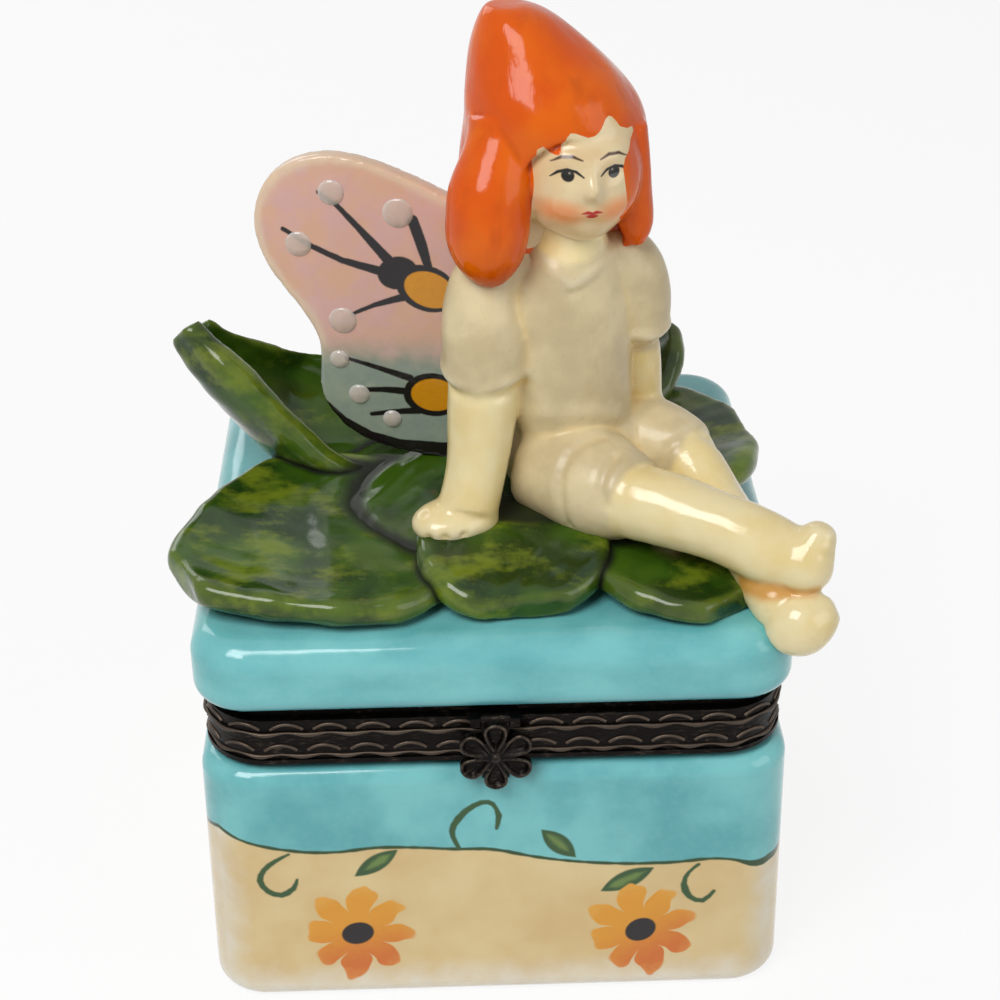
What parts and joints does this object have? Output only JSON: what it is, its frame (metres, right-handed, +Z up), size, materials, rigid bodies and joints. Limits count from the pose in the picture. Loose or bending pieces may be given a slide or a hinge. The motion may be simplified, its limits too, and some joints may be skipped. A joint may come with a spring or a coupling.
{
  "type": "keepsake tooth box",
  "caption": "Square hinged porcelain keepsake box for a milk tooth, with metal rims, a flower clasp and a winged figurine seated on leaves on its lid.",
  "frame": {"origin": "centre of the flat underside of the box", "axes": "+Z up, -Y towards the clasp side, +X to the right of someone facing the clasp"},
  "size_m": [0.0582, 0.0563, 0.0869],
  "materials": {
    "box_porcelain": "glossy glaze, cream below and aqua above",
    "lid_porcelain": "glossy aqua glaze",
    "leaf_glaze": "glossy mottled green glaze",
    "figure_porcelain": "ivory glaze",
    "hair_glaze": "glossy orange glaze",
    "wing_glaze": "pink to blue-green glaze with painted veins",
    "drop_glaze": "clear glossy drops",
    "rim_metal": "darkened, worn to warm grey on high places",
    "pin_metal": "darkened",
    "clasp_metal": "darkened, worn on the petal edges"
  },
  "bodies": {
    "base": {"base_box": "box_porcelain", "base_bezel": "rim_metal", "base_hinge_knuckles": "rim_metal", "hinge_pin": "pin_metal", "catch_bar": "rim_metal"},
    "lid": {"lid_shell": "lid_porcelain", "lid_bezel": "rim_metal", "lid_hinge_knuckles": "rim_metal", "clasp_bracket": "rim_metal", "clasp_pin": "pin_metal", "leaf_mound": "leaf_glaze", "leaf_left": "leaf_glaze", "leaf_front": "leaf_glaze", "leaf_front_right": "leaf_glaze", "leaf_right": "leaf_glaze", "leaf_back_right": "leaf_glaze", "leaf_back": "leaf_glaze", "leaf_upright": "leaf_glaze", "fairy_torso": "figure_porcelain", "fairy_romper": "figure_porcelain", "fairy_head": "figure_porcelain", "fairy_hair": "hair_glaze", "fairy_right_arm": "figure_porcelain", "fairy_left_arm": "figure_porcelain", "fairy_right_leg": "figure_porcelain", "fairy_left_leg": "figure_porcelain", "fairy_right_wing": "wing_glaze", "fairy_left_wing": "wing_glaze", "right_wing_drops": "drop_glaze", "left_wing_drops": "drop_glaze"},
    "clasp": {"clasp_strap": "clasp_metal", "clasp_flower": "clasp_metal"}
  },
  "joints": [
    {"name": "lid_hinge", "type": "hinge", "parent": "base", "child": "lid", "pos_m": [0, 0.0268, 0.02935], "axis": [-1, 0, 0], "range_deg": [0, 95]},
    {"name": "clasp_swing", "type": "hinge", "parent": "lid", "child": "clasp", "pos_m": [0, -0.02605, 0.03115], "axis": [-1, 0, 0], "range_deg": [0, 70]}
  ]
}
